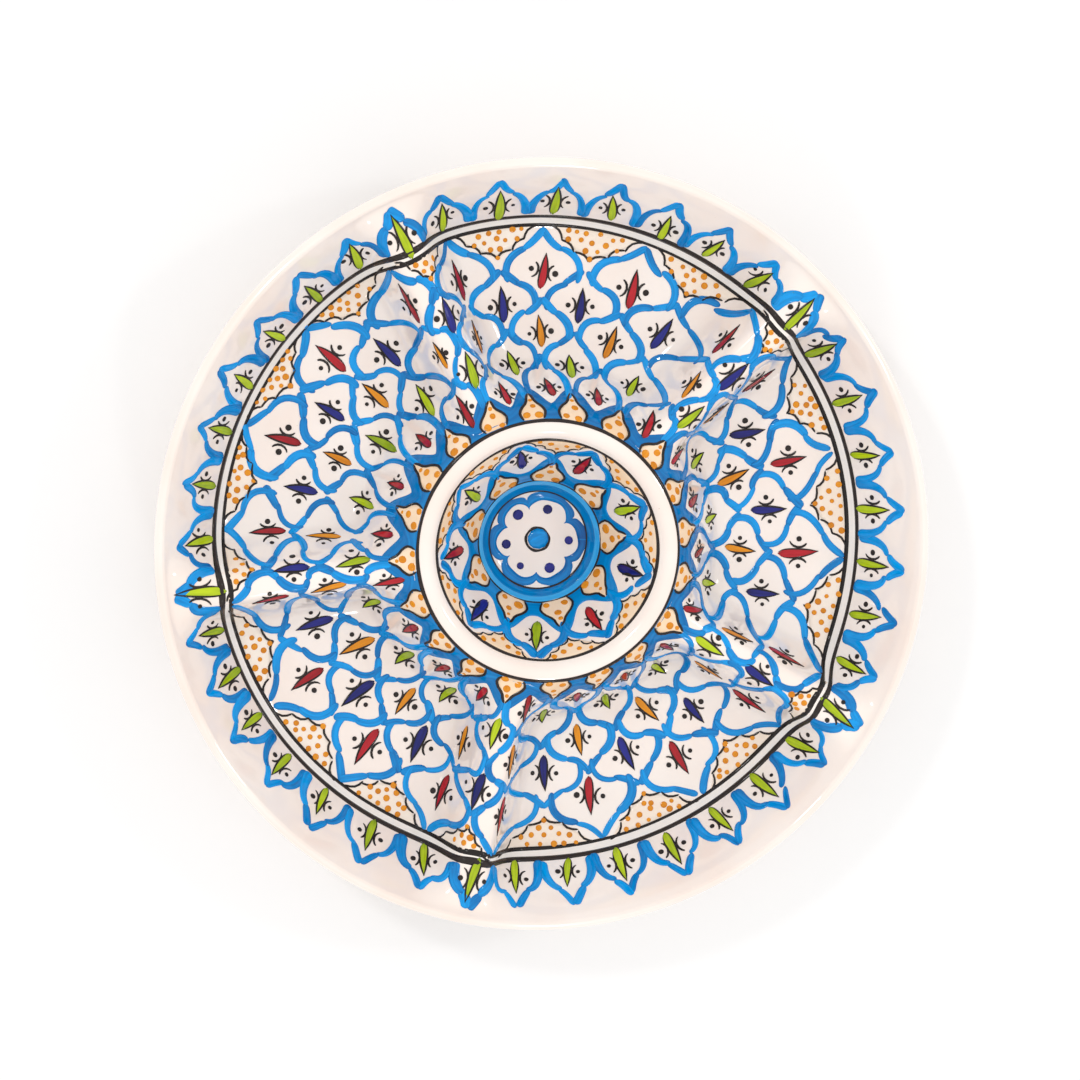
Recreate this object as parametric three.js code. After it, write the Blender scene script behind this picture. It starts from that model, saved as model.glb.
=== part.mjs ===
// A divided serving plate of glazed earthenware: a dip bowl inside a raised ring, five compartments
// round it with a hollow ridge between each two, a steep outer wall and a rolled lip, on a foot ring.
// It is built as the clay members that a potter presses or rolls and joins with slip.
// Millimetres, +Z up. The origin is on the axis, in the plane that the foot ring stands on.
import * as THREE from "three";

// Overall
const lipRadius = 165; // to the outermost point of the lip
const lipHeight = 43; // top of the lip above the compartments' floor
const ringHeight = 42; // flat top of the centre ring above the compartments' floor
const clay = 6; // thickness of the sheet, square to its surface
const joint = 0.3; // gap left between two members for the slip

// Foot
const footHeight = 6;
const footInset = 10; // from the start of the compartments' floor to the middle of the foot ring
const footWidth = 9;
const footRounding = 1.6;

// Dip bowl and centre ring
const bowlFloorRadius = 21.5;
const bowlWallRun = 28.5; // level distance from the bowl's floor to the ring's top
const ringTopWidth = 5.5;
const ringBead = { inside: 2, outside: 1 }; // how far the ring's joints lie beyond its flat top
const shoulderRun = 8.5; // the ring's outside is less steep over this distance
const shoulderDrop = 11;

// Compartments and outer wall
const ringWallRun = 14.5; // level distance from the shoulder to the compartments' floor
const floorWidth = 21.5;
const floorStartHeight = 0.6;
const floorEndHeight = 0.8;
const wallFootHeight = 7.6; // the floor rises this far to the foot of the outer wall
const wallRun = 18; // level distance over which the outer wall is steep
const flareRun = 9; // level distance from the wall's head to the outermost point of the lip
const flareRise = 7; // from the wall's head to the top of the lip
const lipRoll = 3.5; // radius of the rolled edge
const lipWidth = 7; // from the lip's joint to its outermost point

// Ridges between the compartments
const ridgeTurn = 42.2; // degrees from +X to the first ridge
const ridgeDrift = [1.4, 0.7, -0.2, -1.6, -0.3]; // degrees that each stands off its even place, by hand
const ridgeUnderRing = 2.5; // crest below the ring's top where they meet
const ridgeUnderLip = 3.5; // crest below the lip's top at the wall's head
const ridgeSag = 5; // dip of the crest between the two
const ridgeHalfWidth = { ring: 10.5, wall: 13 }; // from the crest line to half way down the flank
const ridgeFootWidth = 16; // from the crest line to the joint with a compartment
const ridgeSteepness = 4; // power of the flank's fall

// How finely the surfaces are divided
const turnSteps = 56;
const bowlSteps = 11;
const trayRadii = 13;
const trayTurns = 9;
const ridgeRadii = 10;
const ridgeTurns = 8;
const edgeSteps = 4;

const turn = 2 * Math.PI;
const ridgeCount = ridgeDrift.length;
const floorLevel = footHeight + clay; // top of the compartments' floor
const ringInnerRadius = bowlFloorRadius + bowlWallRun;
const ringOuterRadius = ringInnerRadius + ringTopWidth;
const shoulderRadius = ringOuterRadius + shoulderRun;
const floorStartRadius = shoulderRadius + ringWallRun;
const floorEndRadius = floorStartRadius + floorWidth;
const wallHeadRadius = lipRadius - flareRun;
const wallFootRadius = wallHeadRadius - wallRun;
const steepestShare = 2.4; // most that the sheet thickens when measured upright

// The corners of the plate's outline half way between two ridges, from the axis outwards,
// each with the distance over which it is rounded.
const corners = [
  { radius: 0, height: 0, round: 1 },
  { radius: bowlFloorRadius, height: 0, round: 2.2 },
  { radius: ringInnerRadius, height: ringHeight, round: 1.1 },
  { radius: ringOuterRadius, height: ringHeight, round: 1 },
  { radius: shoulderRadius, height: ringHeight - shoulderDrop, round: 1.5 },
  { radius: floorStartRadius, height: floorStartHeight, round: 1.6 },
  { radius: floorEndRadius, height: floorEndHeight, round: 4 },
  { radius: wallFootRadius, height: wallFootHeight, round: 1.6 },
  { radius: wallHeadRadius, height: lipHeight - flareRise, round: 2.2 },
  { radius: lipRadius - lipRoll, height: lipHeight, round: 1 },
];

const slopes = corners.slice(1).map((end, i) => {
  const start = corners[i];
  return (end.height - start.height) / (end.radius - start.radius);
});

// Height of the outline: a line that leaves the axis with the first slope and changes to the next
// at each corner, every change being spread by a soft step so that the corner is rounded.
function outlineHeight(radius) {
  let height = slopes[0] * radius;
  for (let i = 1; i < slopes.length; i += 1) {
    const { radius: at, round } = corners[i];
    const reach = (radius - at) / round;
    const soft = reach > 30 ? reach : Math.log1p(Math.exp(reach));
    height += (slopes[i] - slopes[i - 1]) * round * soft;
  }
  return height;
}

const ridgeAngles = ridgeDrift.map((drift, i) => {
  return THREE.MathUtils.degToRad(ridgeTurn + (360 / ridgeCount) * i + drift);
});

// Distance along the arc from the nearest crest line.
function distanceToRidge(radius, angle) {
  const offsets = ridgeAngles.map((ridge) => {
    const away = angle - ridge;
    return Math.abs(away - turn * Math.round(away / turn)) * radius;
  });
  return Math.min(...offsets);
}

// Place along a ridge: 0 at the ring's edge, 1 at the head of the outer wall.
function ridgeShare(radius) {
  return (radius - ringOuterRadius) / (wallHeadRadius - ringOuterRadius);
}

// Half the ridge's width at half its height, widening evenly from the ring to the outer wall.
function ridgeWidth(radius) {
  return THREE.MathUtils.lerp(ridgeHalfWidth.ring, ridgeHalfWidth.wall, ridgeShare(radius));
}

// Height of a crest along the ridge: level between the ring and the lip but for a shallow sag.
function crestHeight(radius) {
  const share = ridgeShare(radius);
  const ends = THREE.MathUtils.lerp(ringHeight - ridgeUnderRing, lipHeight - ridgeUnderLip, share);
  return ends - ridgeSag * 4 * share * (1 - share);
}

// The top surface: the outline, lifted to the crest on each ridge. The lift fades down the flank,
// and is nothing inside the ring or where the outline is already higher.
function topHeight(radius, angle) {
  const outline = outlineHeight(radius);
  if (radius <= ringOuterRadius) {
    return floorLevel + outline;
  }
  const lift = Math.max(crestHeight(radius) - outline, 0);
  const away = distanceToRidge(radius, angle) / ridgeWidth(radius);
  return floorLevel + outline + lift / (1 + away ** ridgeSteepness);
}

// The underside lies one thickness of clay below, measured square to the surface.
function underHeight(radius, angle) {
  const step = 0.5;
  const along = (topHeight(radius + step, angle) - topHeight(radius - step, angle)) / (2 * step);
  const swing = step / Math.max(radius, 1);
  const across = (topHeight(radius, angle + swing) - topHeight(radius, angle - swing)) / (2 * step);
  const share = Math.min(Math.hypot(1, along, across), steepestShare);
  return topHeight(radius, angle) - clay * share;
}

function range(from, to, steps) {
  return Array.from({ length: steps + 1 }, (_, i) => from + ((to - from) * i) / steps);
}

// A closed sheet of clay over a grid of radii and angles. anglesAt(radius) gives the angles of one
// row; a sheet that goes all the way round joins its last column to its first.
function sheet(radii, anglesAt, whole = false) {
  const count = anglesAt(radii[0]).length;
  const columns = whole ? count : count - 1;
  const points = [];
  for (const height of [topHeight, underHeight]) {
    for (const radius of radii) {
      for (const angle of anglesAt(radius)) {
        points.push(radius * Math.cos(angle), radius * Math.sin(angle), height(radius, angle));
      }
    }
  }
  const rows = radii.length;
  const at = (side, i, j) => (side * rows + i) * count + (j % count);
  const faces = [];
  const quad = (a, b, c, d) => faces.push(a, b, c, a, c, d);
  for (let i = 0; i + 1 < rows; i += 1) {
    for (let j = 0; j < columns; j += 1) {
      quad(at(0, i, j), at(0, i + 1, j), at(0, i + 1, j + 1), at(0, i, j + 1));
      quad(at(1, i, j), at(1, i, j + 1), at(1, i + 1, j + 1), at(1, i + 1, j));
    }
    if (!whole) {
      quad(at(0, i, 0), at(1, i, 0), at(1, i + 1, 0), at(0, i + 1, 0));
      quad(at(0, i, columns), at(0, i + 1, columns), at(1, i + 1, columns), at(1, i, columns));
    }
  }
  for (let j = 0; j < columns; j += 1) {
    quad(at(0, 0, j), at(0, 0, j + 1), at(1, 0, j + 1), at(1, 0, j));
    quad(at(0, rows - 1, j), at(1, rows - 1, j), at(1, rows - 1, j + 1), at(0, rows - 1, j + 1));
  }
  const geometry = new THREE.BufferGeometry();
  geometry.setAttribute("position", new THREE.Float32BufferAttribute(points, 3));
  geometry.setIndex(faces);
  geometry.computeVertexNormals();
  return geometry;
}

// A quarter or half turn of a rounded edge in the (radius, height) plane.
function arc(centre, size, fromDegrees, toDegrees, steps) {
  return range(fromDegrees, toDegrees, steps).map((degrees) => {
    const angle = THREE.MathUtils.degToRad(degrees);
    return new THREE.Vector2(centre.x + size * Math.cos(angle), centre.y + size * Math.sin(angle));
  });
}

// Turns a closed (radius, height) profile round the axis. Lathe turns about Y, so the result is
// stood up on Z.
function turned(profile) {
  const geometry = new THREE.LatheGeometry(profile, turnSteps);
  geometry.rotateX(Math.PI / 2);
  return geometry;
}

const glaze = { cream: 0xfff5ea, blue: 0x1e8fe0, rim: 0xf0e2d8, biscuit: 0xe9d9c6 };

function member(name, geometry, color) {
  const material = new THREE.MeshStandardMaterial({ color, roughness: 0.15, metalness: 0 });
  const mesh = new THREE.Mesh(geometry, material);
  mesh.name = name;
  return mesh;
}

const bowlEdge = ringInnerRadius - ringBead.inside;
const ringEdge = ringOuterRadius + ringBead.outside;
const lipJoint = lipRadius - lipWidth;
const evenTurn = range(0, turn, turnSteps).slice(1);

// The dip bowl: floor and sloping wall, turned in one piece.
function dipBowl() {
  const radii = range(0, bowlEdge - joint, bowlSteps);
  const above = radii.map((radius) => new THREE.Vector2(radius, topHeight(radius, 0)));
  const below = radii.map((radius) => new THREE.Vector2(radius, underHeight(radius, 0)));
  return turned([...below, ...above.reverse()]);
}

// The raised ring round the bowl, flat on top.
function centreRing() {
  return sheet([bowlEdge, ringInnerRadius, ringOuterRadius, ringEdge], () => evenTurn, true);
}

// Angles across a compartment: from the foot of one ridge to the foot of the next.
function trayAngles(index, radius) {
  const next = (index + 1) % ridgeCount;
  const end = ridgeAngles[next] + (next === 0 ? turn : 0);
  const inset = (ridgeFootWidth + joint / 2) / radius;
  return range(ridgeAngles[index] + inset, end - inset, trayTurns);
}

// Angles across a ridge, from foot to foot.
function ridgeSpan(index, radius) {
  const reach = (ridgeFootWidth - joint / 2) / radius;
  return range(ridgeAngles[index] - reach, ridgeAngles[index] + reach, ridgeTurns);
}

// A compartment: the ring's steep outside, the floor and its gentle rise to the outer wall.
function compartment(index) {
  const start = ringEdge + joint;
  const end = wallFootRadius - joint;
  const steep = range(start, floorStartRadius, edgeSteps * 2);
  const flat = range(floorStartRadius, end, trayRadii - edgeSteps * 2);
  return sheet([...steep, ...flat.slice(1)], (radius) => trayAngles(index, radius));
}

// A ridge: one hollow fold of clay from the ring to the outer wall, open underneath.
function ridge(index) {
  const radii = range(ringEdge + joint, wallFootRadius - joint, ridgeRadii);
  return sheet(radii, (radius) => ridgeSpan(index, radius));
}

// The outer wall, which takes the ridges' ends as low humps. Its columns follow theirs.
function rimWall() {
  const columns = (radius) => {
    return ridgeAngles.flatMap((_, i) => [...ridgeSpan(i, radius), ...trayAngles(i, radius)]);
  };
  return sheet(range(wallFootRadius, lipJoint - joint, edgeSteps), columns, true);
}

// The rolled lip: a bead with a flat joint face inside and a round edge outside.
function rimLip() {
  const crown = floorLevel + lipHeight;
  const centre = new THREE.Vector2(lipRadius - lipRoll, crown - lipRoll);
  const inside = floorLevel + outlineHeight(lipJoint);
  const depth = 2 * lipRoll;
  return turned([
    new THREE.Vector2(lipJoint, inside - depth),
    ...arc(centre, lipRoll, -90, 90, edgeSteps * 2),
    new THREE.Vector2(lipJoint, inside),
    new THREE.Vector2(lipJoint, inside - depth),
  ]);
}

// The foot ring: a rolled strip of clay with its lower edges rounded, flat where it stands.
function footRing() {
  const middle = floorStartRadius + footInset;
  const inner = middle - footWidth / 2;
  const outer = middle + footWidth / 2;
  const top = footHeight - joint;
  const round = footRounding;
  return turned([
    new THREE.Vector2(inner, top),
    ...arc(new THREE.Vector2(inner + round, round), round, 180, 270, edgeSteps),
    ...arc(new THREE.Vector2(outer - round, round), round, 270, 360, edgeSteps),
    new THREE.Vector2(outer, top),
    new THREE.Vector2(inner, top),
  ]);
}

const plate = new THREE.Group();
plate.add(member("foot_ring", footRing(), glaze.biscuit));
plate.add(member("dip_bowl", dipBowl(), glaze.blue));
plate.add(member("centre_ring", centreRing(), glaze.cream));
for (let i = 0; i < ridgeCount; i += 1) {
  plate.add(member(`compartment_${i + 1}`, compartment(i), glaze.cream));
  plate.add(member(`ridge_${i + 1}`, ridge(i), glaze.blue));
}
plate.add(member("rim_wall", rimWall(), glaze.rim));
plate.add(member("rim_lip", rimLip(), glaze.rim));

export default plate;
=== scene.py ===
# %% [markdown]
# # A hand painted, divided serving plate
# The real plate is one sheet of white earthenware, pressed over a mould so that a dip bowl, a
# raised ring and five ridges stand up out of it. It is painted by hand, dipped in clear glaze and
# fired once. This file builds the glazed clay as one smooth surface, and then lays every brush
# stroke on it as a thin raised skin of paint.

import bpy
import numpy as np
from mathutils import Matrix, Vector


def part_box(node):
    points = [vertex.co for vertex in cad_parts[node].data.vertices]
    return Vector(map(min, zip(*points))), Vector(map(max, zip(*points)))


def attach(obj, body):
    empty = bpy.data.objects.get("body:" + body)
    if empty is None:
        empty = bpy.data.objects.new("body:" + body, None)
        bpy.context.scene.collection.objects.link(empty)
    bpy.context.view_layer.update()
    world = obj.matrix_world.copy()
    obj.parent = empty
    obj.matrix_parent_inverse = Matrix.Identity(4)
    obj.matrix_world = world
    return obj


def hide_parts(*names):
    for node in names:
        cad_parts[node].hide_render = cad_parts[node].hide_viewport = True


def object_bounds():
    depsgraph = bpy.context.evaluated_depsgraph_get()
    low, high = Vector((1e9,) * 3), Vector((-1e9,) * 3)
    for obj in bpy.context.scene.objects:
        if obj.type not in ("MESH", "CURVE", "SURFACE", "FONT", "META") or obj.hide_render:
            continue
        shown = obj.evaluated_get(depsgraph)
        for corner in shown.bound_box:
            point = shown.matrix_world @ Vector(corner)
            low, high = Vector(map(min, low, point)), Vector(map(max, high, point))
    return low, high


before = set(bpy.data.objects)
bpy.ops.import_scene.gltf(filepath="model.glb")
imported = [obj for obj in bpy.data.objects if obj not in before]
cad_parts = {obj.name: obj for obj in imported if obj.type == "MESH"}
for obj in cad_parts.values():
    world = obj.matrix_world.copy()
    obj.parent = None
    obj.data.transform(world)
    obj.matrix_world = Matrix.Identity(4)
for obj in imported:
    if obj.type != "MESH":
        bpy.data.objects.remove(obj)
cad_box = [list(corner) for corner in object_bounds()]
print("CAD box in metres:", cad_box)

# %% [markdown]
# ## Sizes
# All shapes are worked out in millimetres and turned into metres when a mesh is made. The big
# sizes are read from the frame, so that the glazed clay fits the solids that it stands for.


# %% Sizes
METRE = 1000.0


def extent(node):
    """Lowest and highest corner of a CAD node, in millimetres."""
    low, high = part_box(node)
    return np.array(low) * METRE, np.array(high) * METRE


LIP_RADIUS = cad_box[1][0] * METRE
LIP_TOP = cad_box[1][2] * METRE
FOOT_OUTER = extent("foot_ring")[1][0]
RING_TOP = extent("centre_ring")[1][2]
CLAY = 6.0
FLOOR = extent("dip_bowl")[0][2] + CLAY
LIP_ROLL = 3.5
FOOT_WIDTH = 9.0
WALL_HEAD = LIP_RADIUS - 9.0
WALL_FOOT = LIP_RADIUS - 27.0
RING_OUTER = 55.5
SECTOR = 72.0
RIDGE_TURN = 42.2
RIDGE_DRIFT = np.array([1.4, 0.7, -0.2, -1.6, -0.3])
RIDGES = np.radians(RIDGE_TURN + SECTOR * np.arange(5) + RIDGE_DRIFT)
RIDGE_SPANS = np.diff(np.append(RIDGES, RIDGES[0] + 2 * np.pi))
FULL_TURN = 2 * np.pi

# How far a crest starts below the ring's top, ends below the lip and sags between them, and how
# wide a ridge is near the ring and grows on its way out.
CREST_START_DROP = 2.5
CREST_END_DROP = 3.5
CREST_SAG = 5.0
RIDGE_WIDTH = 10.5
RIDGE_SPREAD = 2.5

# Corners of the outline from the axis outwards: radius, height above the floor, rounding.
CORNERS = np.array(
    [
        (0.0, 0.0, 1.0),
        (21.5, 0.0, 2.2),
        (50.0, RING_TOP - FLOOR, 1.1),
        (RING_OUTER, RING_TOP - FLOOR, 1.0),
        (64.0, 31.0, 1.5),
        (78.5, 0.6, 1.6),
        (100.0, 0.8, 4.0),
        (WALL_FOOT, 7.6, 1.6),
        (WALL_HEAD, LIP_TOP - FLOOR - 7.0, 2.2),
        (LIP_RADIUS - LIP_ROLL, LIP_TOP - FLOOR, 1.0),
    ]
)
print("lip radius", LIP_RADIUS, "lip top", LIP_TOP, "floor", FLOOR)

# %% [markdown]
# ## The clay's surface
# One formula gives the plate's height, so the painter's strokes can be laid on exactly the same
# surface. Its outline is a line whose slope changes at each corner through a soft step. A ridge
# lifts that outline to its crest, and the lift fades with the fourth power down its flanks.


# %% Height of the glazed surface
def outline_height(radius):
    """Height of the outline above the floor: the first slope times the radius, plus at each corner
    the change of slope times a soft step, rounding * log(1 + exp((radius - corner) / rounding))."""
    slopes = np.diff(CORNERS[:, 1]) / np.diff(CORNERS[:, 0])
    height = slopes[0] * radius
    for change, (corner, _, rounding) in zip(np.diff(slopes), CORNERS[1:-1]):
        height = height + change * rounding * np.logaddexp(0.0, (radius - corner) / rounding)
    return height


def ridge_distance(radius, angle):
    """Arc length from the nearest crest line: the smallest angle to any ridge times the radius."""
    away = np.asarray(angle)[..., None] - RIDGES
    away = away - FULL_TURN * np.round(away / FULL_TURN)
    return np.abs(away).min(axis=-1) * radius


def polar_height(radius, angle):
    """Height of the surface: the outline plus (crest - outline) / (1 + (distance / width)^4),
    where the crest runs straight from ring to lip but for a parabolic sag."""
    outline = outline_height(radius)
    share = (radius - RING_OUTER) / (WALL_HEAD - RING_OUTER)
    start = RING_TOP - CREST_START_DROP
    end = LIP_TOP - CREST_END_DROP
    crest = start + share * (end - start) - FLOOR - CREST_SAG * 4.0 * share * (1.0 - share)
    width = RIDGE_WIDTH + RIDGE_SPREAD * share
    lift = np.maximum(crest - outline, 0.0) / (1.0 + (ridge_distance(radius, angle) / width) ** 4)
    return FLOOR + outline + np.where(radius > RING_OUTER, lift, 0.0)


def plan_height(plan):
    """Height over a plan point (x, y)."""
    return polar_height(np.hypot(plan[..., 0], plan[..., 1]), np.arctan2(plan[..., 1], plan[..., 0]))


def steepness(plan, step=0.3):
    """Slope of the surface towards +X and +Y, by the difference over a small step each way."""
    along = [plan_height(plan + d) - plan_height(plan - d) for d in ((step, 0.0), (0.0, step))]
    return np.stack(along, axis=-1) / (2 * step)


def normals(plan):
    """Unit normal of the surface: (-slope x, -slope y, 1) made one long."""
    slope = steepness(plan)
    raw = np.concatenate([-slope, np.ones_like(slope[..., :1])], axis=-1)
    return raw / np.linalg.norm(raw, axis=-1, keepdims=True)


def from_polar(radius, angle):
    """Plan point (radius cos angle, radius sin angle)."""
    radius, angle = np.broadcast_arrays(radius, angle)
    return np.stack([radius * np.cos(angle), radius * np.sin(angle)], axis=-1)


print("crest height", polar_height(100.0, RIDGES[:1]), "floor height", polar_height(90.0, 0.1))

# %% [markdown]
# ## Meshes from grids
# Every shape here is a grid of points, so one helper turns a grid into faces. A grid may close on
# itself in either direction, as a lathe's turns do, and many small grids can share a mesh.


# %% Grid helper
def grid_quads(rows, columns, wrap_rows=False, wrap_columns=False):
    """Corners of each cell of a grid, as indices row * columns + column, turned so that the face
    looks along row direction x column direction."""
    row = np.arange(rows if wrap_rows else rows - 1)[:, None]
    column = np.arange(columns if wrap_columns else columns - 1)[None, :]
    next_row = (row + 1) % rows
    next_column = (column + 1) % columns
    corners = [row * columns + column, next_row * columns + column]
    corners += [next_row * columns + next_column, row * columns + next_column]
    return np.stack([np.broadcast_to(c, (row.size, column.size)) for c in corners], -1).reshape(-1, 4)


def make_piece(name, points, faces, material, layers=None):
    """A smooth mesh object at the origin, from points in millimetres and lists of point numbers.
    layers holds named values, one for each point, that the material reads."""
    mesh = bpy.data.meshes.new(name)
    mesh.from_pydata((points / METRE).tolist(), [], faces)
    for label, values in (layers or {}).items():
        attribute = mesh.attributes.new(label, "FLOAT", "POINT")
        attribute.data.foreach_set("value", np.ascontiguousarray(values, dtype=np.float32).ravel())
    mesh.polygons.foreach_set("use_smooth", np.full(len(mesh.polygons), True))
    mesh.materials.append(material)
    mesh.update()
    piece = bpy.data.objects.new(name, mesh)
    bpy.context.scene.collection.objects.link(piece)
    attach(piece, "root")
    print(name, "faces", len(mesh.polygons))
    return piece


# %% [markdown]
# ## Finishes
# A finish is a tree of shader nodes. A small class wraps an output socket and gives it arithmetic,
# so that an expression such as `mask * 0.5 + 1` adds its own Math nodes. Any other node comes from
# one method that takes its type, settings and inputs.


# %% Finish helper
def input_name(label):
    """A shader input's own name, such as "Coat Weight" for coat_weight."""
    return label.replace("_", " ").title().replace("Ior", "IOR")


class Signal:
    """An output socket that can be added, subtracted and multiplied."""

    def __init__(self, finish, socket):
        self.finish = finish
        self.socket = socket

    def maths(self, operation, first, second):
        return self.finish.node("ShaderNodeMath", {"operation": operation}, {0: first, 1: second})

    def __add__(self, other):
        return self.maths("ADD", self, other)

    def __sub__(self, other):
        return self.maths("SUBTRACT", self, other)

    def __mul__(self, other):
        return self.maths("MULTIPLY", self, other)


class Finish:
    """A material with a Principled surface, built from expressions."""

    def __init__(self, name, **constants):
        self.material = bpy.data.materials.new(name)
        self.material.use_nodes = True
        self.tree = self.material.node_tree
        self.shader = self.tree.nodes["Principled BSDF"]
        for label, value in constants.items():
            self.shader.inputs[input_name(label)].default_value = value

    def node(self, kind, settings=None, values=None, output=0):
        """Adds a node: first its settings, then its inputs, which are values or other signals."""
        made = self.tree.nodes.new(kind)
        for label, value in (settings or {}).items():
            setattr(made, label, value)
        for label, value in (values or {}).items():
            self.join(made.inputs[label], value)
        return Signal(self, made.outputs[output])

    def join(self, socket, value):
        if isinstance(value, Signal):
            self.tree.links.new(value.socket, socket)
        else:
            socket.default_value = value

    def feed(self, **signals):
        """Joins signals to the shader's own inputs."""
        for label, value in signals.items():
            self.join(self.shader.inputs[input_name(label)], value)
        return self.material

    def place(self):
        return self.node("ShaderNodeTexCoord", output="Object")

    def stored(self, label):
        return self.node("ShaderNodeAttribute", {"attribute_name": label}, output="Fac")

    def noise(self, scale, detail=3.0, roughness=0.5, vector=None):
        values = {"Vector": vector or self.place(), "Scale": scale}
        values.update({"Detail": detail, "Roughness": roughness})
        return self.node("ShaderNodeTexNoise", None, values)

    def ramp(self, factor, *stops):
        """Turns a value into a colour between two stops, each a place and a colour."""
        made = self.node("ShaderNodeValToRGB", None, {"Fac": factor})
        for element, (place, colour) in zip(made.socket.node.color_ramp.elements, stops):
            element.position = place
            element.color = (*colour, 1.0)
        return made

    def gloss(self):
        """Roughness that wanders between 0.1 and 0.17."""
        return self.ramp(self.noise(60.0), (0.3, (0.1,) * 3), (0.7, (0.17,) * 3))

    def blend(self, factor, first, second):
        """Mixes a colour signal with a plain colour."""
        values = {0: factor, 6: first, 7: (*second, 1.0)}
        return self.node("ShaderNodeMix", {"data_type": "RGBA"}, values, 2)

    def bump(self, height, strength, distance):
        values = {"Height": height, "Strength": strength, "Distance": distance}
        return self.node("ShaderNodeBump", None, values)


def srgb(code):
    """Linear colour from a six figure screen colour."""
    parts = np.array([int(code[i : i + 2], 16) for i in (0, 2, 4)]) / 255.0
    linear = np.where(parts <= 0.04045, parts / 12.92, ((parts + 0.055) / 1.055) ** 2.4)
    return tuple(linear.tolist())


# %% [markdown]
# ## White glaze
# Clear glaze over white slip isn't quite even: it is pinker where it runs thin, it has faint
# specks of iron, and slow ripples break up each reflection.


# %% White glaze
WHITE = (1.0, 1.0, 1.0)
DARK = (0.0, 0.0, 0.0)
def white_glaze(name, light, deep):
    """Warm white under a clear coat: two whites mixed by slow noise, tiny pale brown specks, and
    ripples."""
    finish = Finish(name, coat_weight=1.0, coat_roughness=0.03, ior=1.5)
    cloud = finish.noise(22.0, 3.0)
    tone = finish.ramp(cloud, (0.32, srgb(deep)), (0.62, srgb(light)))
    fleck = finish.node("ShaderNodeTexVoronoi", None, {"Vector": finish.place(), "Scale": 190.0})
    speck = finish.ramp(fleck, (0.03, WHITE), (0.055, DARK))
    rare = finish.ramp(finish.noise(75.0, 1.0), (0.66, DARK), (0.7, WHITE))
    dusted = finish.blend(speck * rare * 0.5, tone, srgb("b08a66"))
    ripple = finish.noise(34.0, 2.0) * 0.8 + finish.noise(420.0, 2.0) * 0.04
    relief = finish.bump(ripple, 0.35, 0.0008)
    return finish.feed(base_color=dusted, roughness=finish.gloss(), normal=relief)


INNER_GLAZE = white_glaze("white_glaze", "fff3ea", "fceade")
FOOT_GLAZE = white_glaze("foot_glaze", "f4e9dd", "e9d8c6")
print("glazes made")

# %% [markdown]
# ## The glazed dish
# One closed sheet: the inside from the axis out to the lip, round the rolled edge, and back along
# the underside. Its columns are drawn together at the ridges, where the surface turns quickly.


# %% The glazed dish
COLUMNS_PER_SECTOR = 80
GATHER = 0.6
POLE_RADIUS = 0.05
MOST_STRETCH = 2.4


def dish_angles():
    """Columns of the dish: even shares t of each sector moved to t - GATHER sin(2 pi t) / 2 pi,
    which sets them closest at the ridges."""
    share = np.arange(COLUMNS_PER_SECTOR) / COLUMNS_PER_SECTOR
    share = share - GATHER * np.sin(FULL_TURN * share) / FULL_TURN
    return (RIDGES[:, None] + RIDGE_SPANS[:, None] * share).ravel()


def dish_points(angles):
    """Rings of points: the top out to the lip, half a turn round the lip, and the underside, which
    lies CLAY * sqrt(1 + slope^2) below the top, so that the sheet is even across its slope, but
    never more than MOST_STRETCH times CLAY."""
    edge = LIP_RADIUS - LIP_ROLL
    coarse = np.linspace(POLE_RADIUS, 44.0, 30)
    fine = np.linspace(45.0, edge, 116)
    top = from_polar(np.concatenate([coarse, fine])[:, None], angles)
    top = np.concatenate([top, plan_height(top)[..., None]], axis=-1)
    turn = np.linspace(0.0, np.pi, 16)[1:-1, None]
    roll = from_polar(edge + LIP_ROLL * np.sin(turn), angles)
    level = top[-1, :, 2] - LIP_ROLL + LIP_ROLL * np.cos(turn)
    roll = np.concatenate([roll, level[..., None]], axis=-1)
    under = from_polar(np.linspace(edge, POLE_RADIUS, 74)[:, None], angles)
    slope = np.linalg.norm(steepness(under, 1.0), axis=-1)
    thick = CLAY * np.minimum(np.sqrt(1.0 + slope**2), MOST_STRETCH)
    under = np.concatenate([under, (plan_height(under) - thick)[..., None]], axis=-1)
    return np.concatenate([top, roll, under])


rings = dish_points(dish_angles())
rows, columns = rings.shape[:2]
poles = np.array([[0.0, 0.0, rings[0, 0, 2]], [0.0, 0.0, rings[-1, 0, 2]]])
points = np.concatenate([rings.reshape(-1, 3), poles])
here = np.arange(columns)
there = (here + 1) % columns
last = (rows - 1) * columns
top_cap = np.stack([np.full(columns, rows * columns), here, there], -1)
low_cap = np.stack([np.full(columns, rows * columns + 1), last + there, last + here], -1)
faces = grid_quads(rows, columns, wrap_columns=True).tolist() + top_cap.tolist() + low_cap.tolist()
dish = make_piece("glazed_dish", points, faces, INNER_GLAZE)
clay_nodes = ["dip_bowl", "centre_ring", "rim_wall", "rim_lip"]
clay_nodes += [f"{kind}_{i}" for kind in ("compartment", "ridge") for i in range(1, 6)]
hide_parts(*clay_nodes)

# %% [markdown]
# ## The foot ring
# A strip of clay rolled by hand and luted to the underside. Its lower edge is wiped clean of
# glaze, so that the plate doesn't stick to the kiln shelf.


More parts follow.
